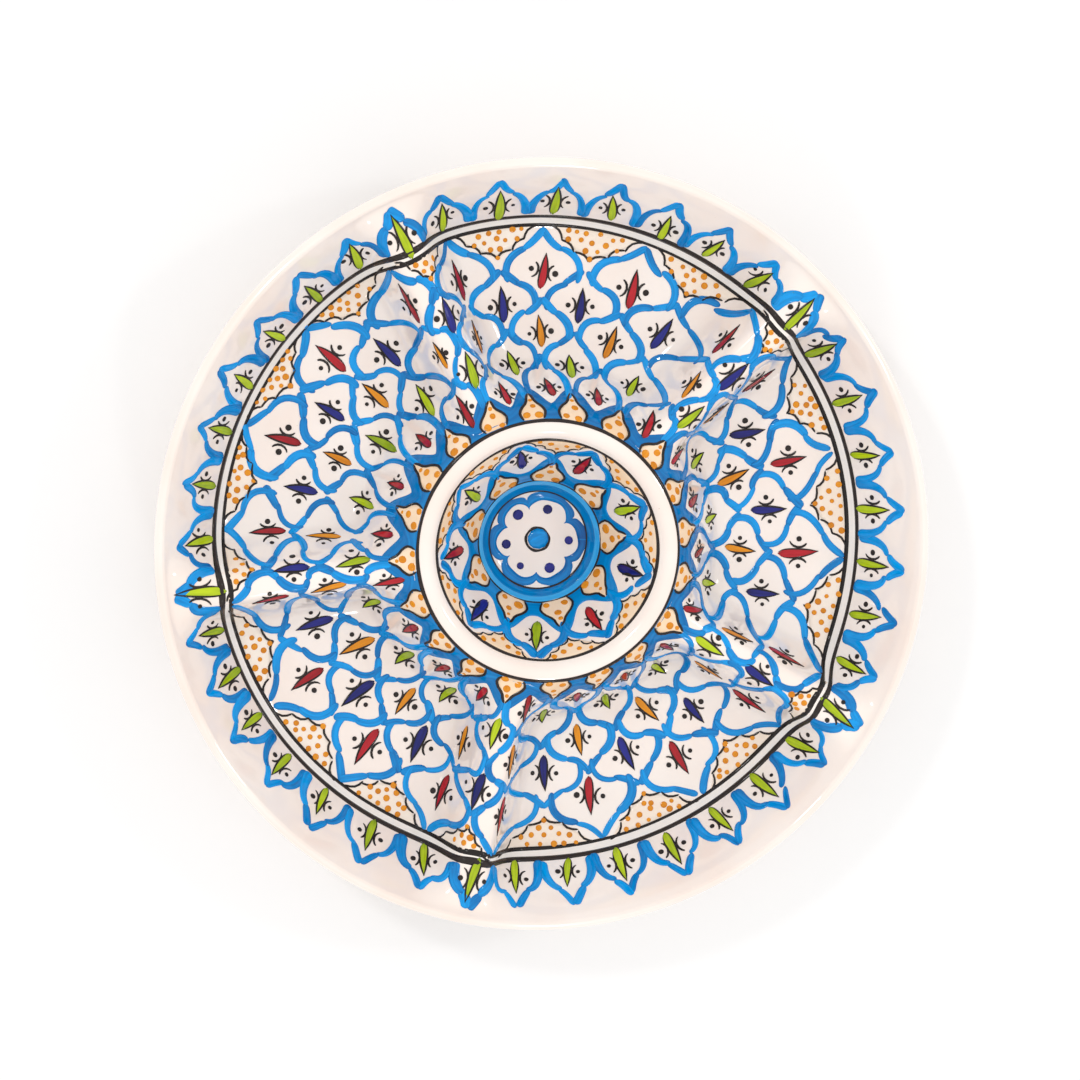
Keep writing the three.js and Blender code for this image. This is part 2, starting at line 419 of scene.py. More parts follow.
# %% The foot ring
def foot_profile():
    """Closed outline in (radius, height): up the inside, out along the joint and down the outside,
    with a quarter turn at each lower edge and a small flare into the underside."""
    rounding = 1.6
    outer = FOOT_OUTER
    inner = FOOT_OUTER - FOOT_WIDTH
    quarter = np.linspace(0.0, np.pi / 2, 7)
    left = np.stack([inner + rounding * (1 - np.cos(quarter)), rounding * (1 - np.sin(quarter))], -1)
    right = np.stack([outer - rounding * (1 - np.sin(quarter)), rounding * (1 - np.cos(quarter))], -1)
    drop = np.linspace(0.0, 1.0, 6)[:, None]
    top = FLOOR - CLAY + 0.2
    flare = 1.4 * (1 - drop) ** 3
    outside = np.concatenate([outer + flare, top - drop * (top - rounding) * 0.98], 1)
    inside = np.concatenate([inner - flare, top - drop * (top - rounding) * 0.98], 1)
    return np.concatenate([left, right, outside[::-1], inside])[::-1]


profile = foot_profile()
foot_angles = np.arange(240) / 240 * FULL_TURN
foot_plan = from_polar(profile[:, None, 0], foot_angles)
foot_height = np.broadcast_to(profile[:, None, 1:], (*foot_plan.shape[:2], 1))
foot_grid = np.concatenate([foot_plan, foot_height], axis=-1)
foot_quads = grid_quads(*foot_grid.shape[:2], wrap_rows=True, wrap_columns=True)
foot_points = foot_grid.reshape(-1, 3)
foot = make_piece("foot_ring_glazed", foot_points, foot_quads.tolist(), FOOT_GLAZE)
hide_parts("foot_ring")

# %% [markdown]
# ## The brush
# A stroke is a path on the plate with a width, so its mesh is a flat-topped section carried along
# the path. Each point of the section is found in plan and stood on the clay's surface again, so
# that even a wide stroke hugs a ridge. Strokes that cross have slightly different heights.


# %% The brush
rng = np.random.default_rng(20)
FINE = np.array([-1.0, 0.0, 1.0])
ROUND = np.array([-1.0, -0.5, 0.5, 1.0])
BROAD = np.array([-1.0, -0.7, -0.25, 0.25, 0.7, 1.0])

# Heights over the glaze, in millimetres: marks that are laid later stand a little higher.
UNDER = -0.15
WASH = 0.1
BAND_LIFT = WASH * 1.4
PETAL_LIFT = WASH * 2.0
PAINT = 0.2
DAB_LIFT = PAINT * 1.2
SCALLOP_LIFT = PAINT * 1.3
LINE_LIFT = PAINT * 1.4
ARC_LIFT = PAINT * 1.6
EDGE_LIFT = PAINT * 1.7
OUTLINE_LIFT = PAINT * 1.9


def stood(plan, lift):
    """A plan point's place on the surface, raised by lift along the normal."""
    ground = np.concatenate([plan, plan_height(plan)[..., None]], axis=-1)
    return ground + normals(plan) * lift[..., None]


def skin(plan, lift, across, closed=False):
    """Thin skins of paint over plan points of shape (skins, steps, across, 2), raised by lift, with
    the underside just inside the glaze. Skins that would face inwards are mirrored."""
    count, steps, width = plan.shape[:3]
    ahead = plan[:, 1:, :-1] - plan[:, :-1, :-1]
    aside = plan[:, :-1, 1:] - plan[:, :-1, :-1]
    turn = (ahead[..., 0] * aside[..., 1] - ahead[..., 1] * aside[..., 0]).sum(axis=(1, 2))
    plan = np.where(turn[:, None, None, None] < 0.0, plan[:, :, ::-1], plan)
    top = stood(plan, np.broadcast_to(lift, plan.shape[:3]))
    base = stood(plan, np.full(plan.shape[:3], UNDER))
    loop = np.concatenate([top, base[:, :, ::-1]], axis=2)
    around = loop.shape[2]
    each = grid_quads(steps, around, wrap_rows=closed, wrap_columns=True)
    if not closed:
        near = np.arange(width - 1)
        cap = np.stack([near, near + 1, around - 2 - near, around - 1 - near], -1)
        each = np.concatenate([each, cap, cap[:, ::-1] + (steps - 1) * around])
    faces = (np.arange(count)[:, None, None] * steps * around + each).reshape(-1, 4)
    shape = loop.shape[:3]
    layers = {
        "along": np.broadcast_to(np.linspace(0.0, 1.0, steps)[None, :, None], shape),
        "over": np.broadcast_to(np.concatenate([across, across[::-1]]), shape),
        "dab": np.broadcast_to(rng.random((count, 1, 1)), shape),
    }
    return loop.reshape(-1, 3), faces, layers


def strokes(paths, widths, across, lift):
    """Brush strokes on paths of shape (strokes, steps, 2), with widths (strokes, steps): a section
    reaches half the width to each side, square to the path on the surface."""
    ahead = np.gradient(stood(paths, np.zeros(paths.shape[:2])), axis=1)
    side = np.cross(normals(paths), ahead)
    side = side / np.maximum(np.linalg.norm(side, axis=-1, keepdims=True), 1e-9)
    reach = across * widths[..., None] / 2
    plan = paths[:, :, None, :] + side[:, :, None, :2] * reach[..., None]
    own = 1.0 + 0.2 * rng.uniform(-1.0, 1.0, (len(paths), 1, 1))
    dome = np.where(np.abs(across) < 0.99, 1.0, 0.72)
    return skin(plan, dome * lift * own, across)


def wash(start, end, rows, lift=WASH, closed=False):
    """A filled patch between two plan curves of shape (patches, steps, 2): start + (end - start)
    times even shares, with its own edges at half the lift."""
    across = np.linspace(-1.0, 1.0, rows)
    share = (across / 2 + 0.5)[:, None]
    plan = start[:, :, None, :] * (1.0 - share) + end[:, :, None, :] * share
    return skin(plan, np.where(np.abs(across) < 0.99, lift, lift * 0.5), across, closed)


def joined(*parts):
    """Several (points, faces, layers) as one, each with its faces counted on from the last."""
    starts = np.cumsum([0] + [len(points) for points, _, _ in parts[:-1]])
    points = np.concatenate([part[0] for part in parts])
    faces = np.concatenate([part[1] + start for part, start in zip(parts, starts)])
    layers = {key: np.concatenate([part[2][key].ravel() for part in parts]) for key in parts[0][2]}
    return points, faces, layers


def paint_piece(name, parts, material):
    points, faces, layers = joined(*parts)
    return make_piece(name, points, faces.tolist(), material, layers)


def brush_steps(steps):
    """Shares of a stroke's length, closest at its ends: (1 - cos(pi u)) / 2."""
    return (1.0 - np.cos(np.pi * np.linspace(0.0, 1.0, steps))) / 2


def bezier(knots, steps):
    """Cubic curve through the first and last of four knots, drawn towards the middle two."""
    t = brush_steps(steps)[:, None]
    a, b, c, d = (np.array(knot) for knot in knots)
    return a * (1 - t) ** 3 + 3 * b * t * (1 - t) ** 2 + 3 * c * t**2 * (1 - t) + d * t**3


def brush_width(steps, full, start, end, tip=0.09):
    """Width along a stroke at brush_steps: full in the middle, easing to a share of it towards each
    end by the third power, with a rounded tip that is a quarter of an ellipse."""
    t = brush_steps(steps)
    body = 1.0 - (1.0 - start) * (1.0 - t) ** 3 - (1.0 - end) * t**3
    near = np.clip(np.minimum(t, 1.0 - t) / tip, 0.0, 1.0)
    return full * body * np.sqrt(1.0 - 0.92 * (1.0 - near) ** 2)


# %% [markdown]
# ## Paint
# Underglaze colour is thin, so the white shows through where the brush ran dry and the colour
# pools dark at the ends of a stroke. Each finish mixes a light and a deep colour by streaks that
# run along the stroke, by the pooling at its ends, and by how full the brush was for that dab.


# %% Paint finishes
MIDDLE_TONE = 0.05


def paint(name, light, deep, streak, pool):
    """Colour between light and deep, by noise stretched along the stroke and by a pool that is
    the distance from the stroke's middle to the fourth power."""
    finish = Finish(name, coat_weight=0.7, coat_roughness=0.04, specular_ior_level=0.0)
    along = finish.stored("along")
    over = finish.stored("over")
    dab = finish.stored("dab")
    axes = {0: along * 1.6 + dab * 37.0, 1: over * 2.2, 2: dab * 11.0}
    lane = finish.node("ShaderNodeCombineXYZ", None, axes)
    hairs = finish.noise(1.0, 3.0, 0.6, lane)
    middle = along * 2.0 - 1.0
    square = middle * middle
    ends = square * square
    cloud = finish.noise(150.0, 2.0)
    amount = (hairs - 0.5) * (streak * 2.4) + ends * pool + (dab - 0.5) * 0.5 + cloud * 0.5
    tone = finish.ramp(amount + MIDDLE_TONE, (0.0, srgb(light)), (1.0, srgb(deep)))
    relief = finish.bump(finish.noise(34.0, 2.0), 0.28, 0.0008)
    return finish.feed(base_color=tone, roughness=finish.gloss(), normal=relief)


BLUE = paint("blue_brushwork", "02a0ee", "00569c", 0.6, 0.5)
BLUE_WASH = paint("blue_wash", "0490d8", "005c9e", 0.7, 0.1)
BLUE_PALE = paint("blue_pale_wash", "5cc4f6", "22a0ea", 0.5, 0.1)
GREEN = paint("green_brushwork", "c4d81c", "76900c", 0.5, 0.6)
RED = paint("red_brushwork", "c2202c", "72080f", 0.5, 0.7)
NAVY = paint("navy_brushwork", "262a8c", "0c0b3a", 0.5, 0.6)
ORANGE = paint("orange_brushwork", "ef981a", "c87206", 0.6, 0.3)
BLACK = paint("black_linework", "2c221e", "060403", 0.4, 0.2)
PEACH = paint("peach_wash", "fff2e4", "fbe0c6", 0.2, 0.0)
PETAL = paint("petal_wash", "fde3c6", "f7cfa2", 0.4, 0.1)
GREY = paint("grey_wash", "fdf6ef", "ece3da", 0.5, 0.0)
print("paints made")

# %% [markdown]
# ## The painter's lattice
# The scales stand in rows round the plate, twenty to a row, and each row is half a place along
# from the last. One scale stands on every ridge and three between, so the columns crowd together
# at the ridges.

# %% Columns and rows
COLUMNS = 20
PER_SECTOR = 4

# Errors of the hand in degrees, and in millimetres for the climb: one for each ridge or sector.
CROWDING = np.radians([2.4, 1.0, 0.4])
DRIFT_ON_RIDGES = (-1.5, -2.0, -3.0, -2.5, -1.5)
DRIFT_BETWEEN = (0.5, -3.0, -1.0, -1.0, 0.0)
CLIMB_BETWEEN = (-1.0, 2.5, -0.5, -0.5, -1.5)

# Where each effect begins on the way out, and over what length it grows or fades.
CROWD_START, CROWD_LENGTH = 63.0, 14.0
CLIMB_START, CLIMB_LENGTH = 60.0, 20.0
CLIMB_END, CLIMB_FADE = 138.0, 8.0
PUSH_START, PUSH_LENGTH = 56.0, 68.0
PUSH = 4.5
PUSH_WIDTH = 0.45


def sector_of(column):
    """Number of the ridge at or before a column."""
    return np.floor(column / PER_SECTOR + 1e-9).astype(int)


def sway(column, on_ridges, between):
    """A slow error of the hand: one value at each ridge and one in the middle of each sector,
    blended by the squared cosine of the share of the way between them."""
    column = np.asarray(column, dtype=float)
    sector = sector_of(column)
    near = np.round(column / PER_SECTOR - 1e-9).astype(int)
    share = np.cos(np.pi * (column / PER_SECTOR - sector)) ** 2
    at_ridge = np.asarray(on_ridges)[near % len(RIDGES)]
    return share * at_ridge + (1 - share) * np.asarray(between)[sector % len(RIDGES)]


def column_angle(column, crowding=1.0, on_ridges=DRIFT_ON_RIDGES, between=DRIFT_BETWEEN):
    """Angle of a column: even shares of its sector, pulled towards the ridges by three sines with
    one, two and three half waves from a ridge to the middle, plus the hand's sway."""
    column = np.asarray(column, dtype=float)
    sector = sector_of(column)
    place = column - sector * PER_SECTOR
    waves = np.arange(1, 4) * np.pi / 2
    pull = (CROWDING * np.sin(place[..., None] * waves)).sum(axis=-1) * crowding
    share = place / PER_SECTOR - pull / np.radians(SECTOR)
    sector = sector % len(RIDGES)
    drift = np.radians(sway(column, on_ridges, between))
    return RIDGES[sector] + RIDGE_SPANS[sector] * share + drift


def from_ridge(column):
    """Number of columns to the nearest ridge."""
    return np.abs(column - PER_SECTOR * np.round(np.asarray(column) / PER_SECTOR))


def ridge_push(column, radius):
    """Rows climb outwards on a ridge: PUSH mm at most, fading with the distance d from the crest
    as exp(-(d / PUSH_WIDTH)^2) and along the ridge as a half wave from ring to outer row."""
    along = np.clip((radius - PUSH_START) / PUSH_LENGTH, 0.0, 1.0)
    near = np.exp(-((from_ridge(column) / PUSH_WIDTH) ** 2))
    return PUSH * near * np.sin(np.pi * along)


def lattice(column, radius):
    """Plan point of a place in the lattice. The columns stand evenly at the ring, where there are
    no ridges yet, and are drawn together further out."""
    crowding = np.clip((radius - CROWD_START) / CROWD_LENGTH, 0.0, 1.0)
    growth = np.clip((radius - CLIMB_START) / CLIMB_LENGTH, 0.0, 1.0)
    climb = sway(column, (0.0,) * len(RIDGES), CLIMB_BETWEEN) * growth
    fade = np.clip((CLIMB_END - radius) / CLIMB_FADE, 0.0, 1.0)
    reach = radius + ridge_push(column, radius) + climb * fade
    return from_polar(reach, column_angle(column, crowding))


# Rows from the rim inwards: radii of tip, valley and eye, first column, and how large, how long
# and how full the marks are.
ROW_KEYS = ("tip", "valley", "eye", "first", "size", "stretch", "full")
ROW_VALUES = {
    "outer": (136.0, 113.5, 117.5, 0.5, 1.0, 1.0, 1.0),
    "second": (119.4, 101.0, 104.3, 0.0, 0.96, 1.0, 1.05),
    "third": (106.0, 88.5, 92.0, 0.5, 0.88, 1.0, 1.05),
    "fourth": (93.2, 75.5, 78.5, 0.0, 0.88, 1.0, 1.1),
    "fifth": (80.2, 64.5, 68.3, 0.5, 0.8, 1.15, 1.2),
}
SCALE_ROWS = {name: dict(zip(ROW_KEYS, values)) for name, values in ROW_VALUES.items()}
print("column angles in the first sector", np.degrees(column_angle(np.arange(5))).round(1))

# %% [markdown]
# ## Washes
# Pale peach is brushed first, wherever orange dots will stand: in the fans between the outer
# scales, on the little domed petals, and in the corners of the dip bowl. Solid blue fills the
# ground between those petals.


# %% Washes
FAN_HALF = 0.44
FAN_EDGE = np.array([(FAN_HALF, 137.4), (0.3, 131.8), (0.16, 127.0), (0.0, 123.6)])
DOME_HEIGHTS = (0.0, 0.15, 0.3, 0.46, 0.58, 0.7, 0.86, 1.0)
DOME_WIDTHS = (0.82, 0.97, 1.0, 0.82, 0.5, 0.3, 0.2, 0.04)
DOME_STEPS = 15
RING_EDGE = 56.2
LINE_RADIUS = 137.0
LINE_SWING = 2.5
LINE_REACH = 11.0


def ridge_nearness(angle):
    """1 on a ridge, fading as exp(-(d / LINE_REACH)^2) with the arc length d from its crest."""
    return np.exp(-((ridge_distance(LINE_RADIUS, angle) / LINE_REACH) ** 2))


def line_radius(angle, offset=0.0):
    """Radius of the banded lines, which swing inwards over a ridge."""
    return LINE_RADIUS + offset - LINE_SWING * ridge_nearness(angle)


def paint_petals(name, columns, base, tip, half, place, dots):
    """Domed petals: a peach wash, a black outline and dots in given places of each square. Each
    tip leans by the cube of its height."""
    leans = rng.normal(0.0, 0.05, len(columns))
    y = brush_steps(DOME_STEPS)
    width = half * np.interp(y, DOME_HEIGHTS, DOME_WIDTHS)
    radius = base[:, None] + (tip - base)[:, None] * y
    sides = [columns[:, None] + side + leans[:, None] * y**3 for side in (-width, width)]
    left, right = [place(side, radius) for side in sides]
    fill = wash(left, right, 6, PETAL_LIFT)
    ends = 0.9 + 0.25 * rng.random((len(columns), 1))
    line = brush_width(DOME_STEPS, 1.15, 0.7, 0.9) * ends
    outline = [strokes(side, line, FINE, OUTLINE_LIFT) for side in (left, right)]
    spots = []
    for across, up, radius in dots:
        share = across / 2 + 0.5
        row = int(np.abs(y - up).argmin())
        centre = left[:, row] * (1 - share) + right[:, row] * share
        spots.append(spots_at(centre + rng.normal(0.0, 0.2, centre.shape), radius))
    paint_piece(f"{name}_wash", [fill], PETAL)
    paint_piece(f"{name}_outlines", outline, BLACK)
    paint_piece(f"{name}_dots", spots, ORANGE)


def tangent_frame(centre):
    """At each plan point, the surface's unit directions outwards and to the left of outwards."""
    out = centre / np.maximum(np.linalg.norm(centre, axis=-1, keepdims=True), 1e-6)
    slope = steepness(centre)
    outwards = np.concatenate([out, (slope * out).sum(-1, keepdims=True)], -1)
    outwards = outwards / np.linalg.norm(outwards, axis=-1, keepdims=True)
    return outwards, np.cross(normals(centre), outwards)


def drawn(centre, local, turn, size):
    """Plan points of a small figure drawn about each centre: local is (steps, 2), sideways and
    outwards in millimetres along the clay, turned and sized for each centre."""
    turn = np.broadcast_to(turn, len(centre))[:, None]
    size = np.broadcast_to(size, len(centre))[:, None]
    x = (local[:, 0] * np.cos(turn) - local[:, 1] * np.sin(turn)) * size
    y = (local[:, 0] * np.sin(turn) + local[:, 1] * np.cos(turn)) * size
    outwards, sideways = tangent_frame(centre)
    step = -x[..., None] * sideways[:, None, :2] + y[..., None] * outwards[:, None, :2]
    return centre[:, None, :] + step


def spots_at(centre, radius):
    """Round dots: short strokes whose width follows a circle, each of a slightly different size."""
    along = np.sin(np.linspace(-1.0, 1.0, 6) * np.pi / 2)
    local = np.stack([np.zeros(6), along], -1)
    sizes = radius * (1.0 + 0.14 * rng.standard_normal(len(centre)).clip(-1.5, 1.5))
    widths = 2.0 * np.sqrt(1.05 - along**2) * sizes[:, None]
    turn = rng.uniform(0.0, np.pi, len(centre))
    return strokes(drawn(centre, local, turn, sizes), widths, ROUND, ARC_LIFT)


FAN_DOT_GAP = 0.108
FAN_DOT_MARGIN = 0.075
FAN_DOT_LIMIT = 135.6
FAN_DOT_RADIUS = 1.2
RIDGE_GAP = 1.6


def fan_dots():
    """Dots on a staggered grid in each fan, kept where they clear the scallops by their own
    radius and the banded lines by a little more."""
    centres = []
    for column in range(COLUMNS):
        radii = np.arange(125.2, 136.5, 3.4)
        gap = FAN_DOT_GAP * (1.0 if column % PER_SECTOR else RIDGE_GAP)
        for number, radius in enumerate(radii):
            place = (np.arange(-4, 5) + 0.5 * (number % 2)) * gap
            reach = np.interp(radius, FAN_EDGE[::-1, 1], FAN_EDGE[::-1, 0])
            swing = LINE_SWING * np.exp(-((from_ridge(column + place) / 0.5) ** 2))
            kept = (np.abs(place) + FAN_DOT_MARGIN < reach) & (radius < FAN_DOT_LIMIT - swing)
            spots = np.stack([column + place[kept], np.full(kept.sum(), radius)], -1)
            centres.append(spots + rng.normal(0.0, 1.0, spots.shape) * (0.01, 0.4))
    centres = np.concatenate(centres)
    return spots_at(lattice(centres[:, 0], centres[:, 1]), FAN_DOT_RADIUS)


def scallops(edge, columns, place, steps, full, rise, spread, shake=None):
    """Black arcs down both sides of a peach patch, each bulging into it between two points of
    its edge, with small errors of radius and, if shake is given, of column."""
    parts = []
    shape = (len(columns), 1)
    for side in (-1.0, 1.0):
        for start, end in zip(edge[:-1], edge[1:]):
            share = brush_steps(steps)[:, None]
            arc = start + (end - start) * share + np.sin(np.pi * share) * (-0.03, rise)
            column = columns[:, None] + side * arc[:, 0]
            if shake is not None:
                column = column + rng.normal(0.0, shake, shape)
            path = place(column, arc[:, 1] + rng.normal(0.0, spread, shape))
            width = brush_width(steps, full, 0.7, 0.7) * np.ones(shape)
            parts.append(strokes(path, width, FINE, SCALLOP_LIFT))
    return parts


# Dots in a domed petal: share of the way across, from -1 to 1, share of its height, and radius.
RING_DOTS = [(-0.5, 0.14, 1.6), (0.5, 0.22, 1.6), (-0.15, 0.45, 1.45), (0.0, 0.76, 0.9)]
BOWL_DOTS = [(-0.55, 0.2, 1.7), (0.45, 0.26, 1.8), (-0.1, 0.5, 1.6), (0.0, 0.74, 0.9)]
ring_base = np.full(COLUMNS, 56.6)
ring_tips = 66.3 + rng.normal(0.0, 0.5, COLUMNS)

# Fans: a peach wash between two outer scales, from the scallops to the banded lines.
place = np.linspace(-FAN_HALF, FAN_HALF, 25)
column = np.arange(COLUMNS)[:, None] + place
low = np.interp(np.abs(place), FAN_EDGE[::-1, 0], FAN_EDGE[::-1, 1]) + 0.9
inner = lattice(column, np.broadcast_to(low, column.shape))
outer = from_polar(line_radius(column_angle(column)) - 0.2, column_angle(column))
paint_piece("fan_wash", [wash(inner, outer, 5)], PEACH)
paint_piece("fan_dots", [fan_dots()], ORANGE)
fan_lines = scallops(FAN_EDGE, np.arange(COLUMNS), lattice, 7, 1.1, 0.9, 0.3, 0.006)
paint_piece("fan_scallops", fan_lines, BLACK)

# The blue ground round the ring: from the ring's edge to a scallop under each domed petal.
column = np.linspace(0.0, COLUMNS, 401)[:-1]
scallop = 62.5 + 6.5 * np.abs(np.cos(np.pi * column)) ** 1.5
inner = from_polar(RING_EDGE, column_angle(column))
ground = wash(inner[None], lattice(column, scallop)[None], 14, WASH, closed=True)
paint_piece("ring_ground", [ground], BLUE_WASH)
paint_petals("ring_petals", np.arange(COLUMNS) + 0.0, ring_base, ring_tips, 0.33, lattice, RING_DOTS)

# %% [markdown]
# ## Scales
# Each scale is four strokes of a soft brush: on each side a short one from the tip to the notch
# and a long one round the lobe. The hand is never quite steady, so each is bent a little.

# %% Blue scales
TIP_CLEARANCE = 1.2
SCALE_STROKE = 3.45
TIP_STROKE = bezier([(0.0, 1.02), (0.1, 0.88), (0.24, 0.73), (0.46, 0.64)], 12)
LOBE_STROKE = bezier([(0.38, 0.66), (0.7, 0.6), (0.94, 0.38), (0.83, 0.02)], 15)
BOWL_LOBE = bezier([(0.4, 0.65), (0.8, 0.64), (1.07, 0.38), (0.98, -0.04)], 15)
RIM_LOBE = bezier([(0.36, 0.64), (0.74, 0.62), (0.93, 0.36), (0.94, 0.0)], 15)


def scale_strokes(columns, tips, valleys, full, place, half=0.5, lobe=LOBE_STROKE, heel=0.75):
    """The four strokes of each scale, drawn in its own square, x from -1 to 1 and y from 0 to 1,
    and then set in place."""
    parts = []
    full = np.broadcast_to(full, len(columns))[:, None]
    for side in (-1.0, 1.0):
        for shape, start, end, tip in ((TIP_STROKE, 1.0, 0.8, 0.22), (lobe, 0.75, heel, 0.1)):
            wobble = rng.standard_normal((len(columns), 2)) * (0.035, 0.02)
            bend = rng.standard_normal(len(columns)) * 0.035
            x = side * shape[:, 0] + wobble[:, :1] * (1.0 - np.abs(shape[:, 0]))
            curl = bend[:, None] * np.sin(np.pi * brush_steps(len(shape)))
            y = shape[:, 1] + wobble[:, 1:] + curl
            path = place(columns[:, None] + half * x, valleys[:, None] + y * (tips - valleys)[:, None])
            width = brush_width(len(shape), 1.0, start, end, tip) * full
            width = width * (1.0 + 0.12 * rng.standard_normal((len(columns), 1)))
            parts.append(strokes(path, width, ROUND, PAINT * rng.uniform(1.0, 1.35)))
    return parts


for name, row in SCALE_ROWS.items():
    columns = row["first"] + np.arange(COLUMNS)
    tips = row["tip"] + rng.normal(0.0, 0.5, COLUMNS)
    tips = np.minimum(tips, line_radius(column_angle(columns)) - TIP_CLEARANCE)
    valleys = np.full(COLUMNS, row["valley"])
    parts = scale_strokes(columns, tips, valleys, SCALE_STROKE * row["size"] ** 0.4, lattice)
    paint_piece(f"blue_scales_{name}_row", parts, BLUE)

# %% [markdown]
# ## The rim
# Two black lines pulled on a turning wheel close the pattern, with greyish slip left between
# them. Outside them stand forty small petals, with a bolder one where each ridge meets the rim.

# %% The rim
RIM_PETALS = 40
RIM_CROWDING = 0.35
RIM_DRIFT_ON_RIDGES = (-0.5, 0.0, 0.0, 0.5, 0.0)
RIM_DRIFT_BETWEEN = (-1.0, 0.0, -2.0, 0.0, -1.5)
RIM_EYE_RADIUS = 146.0
LINE_GAP = 3.7
LINE_WIDTH = 1.4
WHEEL_STEPS = 400
WHEEL_WAVES = 7


def wheel_line(radius, width):
    """A line right round the plate at a radius, whose width swells and thins by a few slow waves."""
    waves = np.arange(1, WHEEL_WAVES + 1)[:, None]
    phase = rng.uniform(0.0, FULL_TURN, (WHEEL_WAVES, 1))
    swell = np.sin(waves * wheel + phase).sum(axis=0) / WHEEL_WAVES
    bold = 1.0 + 0.5 * swell
    middle = np.broadcast_to(radius, wheel.shape) + 0.12 * swell
    inner = from_polar(middle - width * bold / 2, wheel)
    outer = from_polar(middle + width * bold / 2, wheel)
    return wash(inner[None], outer[None], 3, LINE_LIFT, closed=True)


def rim_place(column, radius):
    """Plan point on the rim, where the petals crowd only a little at the ridges."""
    angle = column_angle(column, RIM_CROWDING, RIM_DRIFT_ON_RIDGES, RIM_DRIFT_BETWEEN)
    return from_polar(radius, angle)


wheel = np.arange(WHEEL_STEPS) / WHEEL_STEPS * FULL_TURN
nearness = ridge_nearness(wheel)
inner_line = wheel_line(line_radius(wheel), LINE_WIDTH + 0.8 * nearness)
outer_line = wheel_line(line_radius(wheel, LINE_GAP), LINE_WIDTH + 1.3 * nearness)
paint_piece("banded_lines", [inner_line, outer_line], BLACK)
band = [from_polar(line_radius(wheel, offset), wheel)[None] for offset in (0.2, LINE_GAP - 0.2)]
paint_piece("band_wash", [wash(*band, 6, WASH, closed=True)], GREY)

rim_columns = np.arange(RIM_PETALS) / 2.0
on_ridge = from_ridge(rim_columns) < 0.1
rim_base = np.where(on_ridge, 140.6, 141.6)
rim_tips = np.where(on_ridge, 157.0, 155.8) + rng.normal(0.0, 0.5, RIM_PETALS)
rim_full = np.where(on_ridge, 4.8, 3.3)
rim_parts = scale_strokes(rim_columns, rim_tips, rim_base, rim_full, rim_place, 0.25, RIM_LOBE, 1.5)
paint_piece("rim_petals", rim_parts, BLUE)

# %% [markdown]
# ## Eyes
# Inside each scale the painter lays one dab of colour with a loaded brush, edges it with a thin
# dark line, and hugs it with two small arcs, each with a dot in its hollow.

# %% Eyes
LEAF_STEPS = 12
LEAF_LENGTH = 16.5
LEAF_WIDTH = 4.1
LEAF_BEND = 0.35
ARC_RADIUS = 3.4
DOT_REACH = 5.8


def leaf_width(t):
    """Width of a dab along its length, 0 at the blunt inner end and 1 at the pointed outer end."""
    return np.sqrt(np.clip(1.0 - (1.0 - t) ** 6, 0.0, 1.0)) * (1.0 - t**2.6) ** 0.9


def leaves(centre, turn, size, stretch, full):
    """One dab for each centre: a straight path with the leaf's width."""
    t = np.linspace(0.0, 1.0, LEAF_STEPS)
    local = np.stack([LEAF_BEND * np.sin(np.pi * t), (t - 0.5) * LEAF_LENGTH * stretch], -1)
    paths = drawn(centre, local, turn, size)
    widths = np.maximum(leaf_width(t) * LEAF_WIDTH * full, 0.25) * np.asarray(size)[:, None]
    return strokes(paths, widths, BROAD, DAB_LIFT)


def leaf_edges(centre, turn, size, stretch, full):
    """The dark line down each side of a dab, which starts and stops where the brush lifted."""
    parts = []
    for side in (-1.0, 1.0):
        t = np.linspace(0.12 if side > 0 else 0.02, 1.04, LEAF_STEPS)
        x = side * leaf_width(np.clip(t, 0.0, 1.0)) * full * LEAF_WIDTH / 2
        x = x + LEAF_BEND * np.sin(np.pi * t)
        local = np.stack([x, (t - 0.5) * LEAF_LENGTH * stretch], -1)
        widths = brush_width(LEAF_STEPS, 0.95, 0.6, 0.7) * np.ones((len(centre), 1))
        parts.append(strokes(drawn(centre, local, turn, size), widths, FINE, EDGE_LIFT))
    return parts


def arcs_and_dots(centre, turn, size, stretch):
    """Two arcs that open away from the dab, and a dot in the hollow of each."""
    parts = []
    swing = -1.25 + 2.45 * brush_steps(9)
    for side in (-1.0, 1.0):
        shift = rng.normal(0.0, 0.35, (len(centre), 1))
        x = side * (DOT_REACH - ARC_RADIUS * np.cos(swing))
        local = np.stack([x, ARC_RADIUS * 1.12 * stretch * np.sin(swing)], -1)
        tilt = turn + rng.normal(0.0, 0.12, len(centre))
        widths = brush_width(len(swing), 1.15, 0.45, 0.7) * np.sqrt(size)[:, None]
        paths = drawn(centre + shift * 0.3, local, tilt, size)
        parts.append(strokes(paths, widths, FINE, ARC_LIFT))
        dot = drawn(centre, np.array([[side * DOT_REACH, 0.0]]), tilt, size)[:, 0]
        parts.append(spots_at(dot, 1.1 * size.mean() ** 0.5))
    return parts


def paint_eyes(name, material, slot, centre, size, stretch, full):
    """All that is painted inside one set of scales: dabs in one colour and their black lines."""
    count = len(centre)
    turn = rng.normal(0.0, 0.1, count)
    sizes = size * (1.0 + rng.normal(0.0, 0.06, count))
    centre = centre + rng.normal(0.0, 0.4, (count, 2))
    paint_piece(f"{name}_dabs", [leaves(centre, turn, sizes, stretch, full)], material)
    lines = leaf_edges(centre, turn, sizes, stretch, full) + arcs_and_dots(centre, turn, sizes, stretch)
    paint_piece(f"{name}_linework", lines, BLACK)


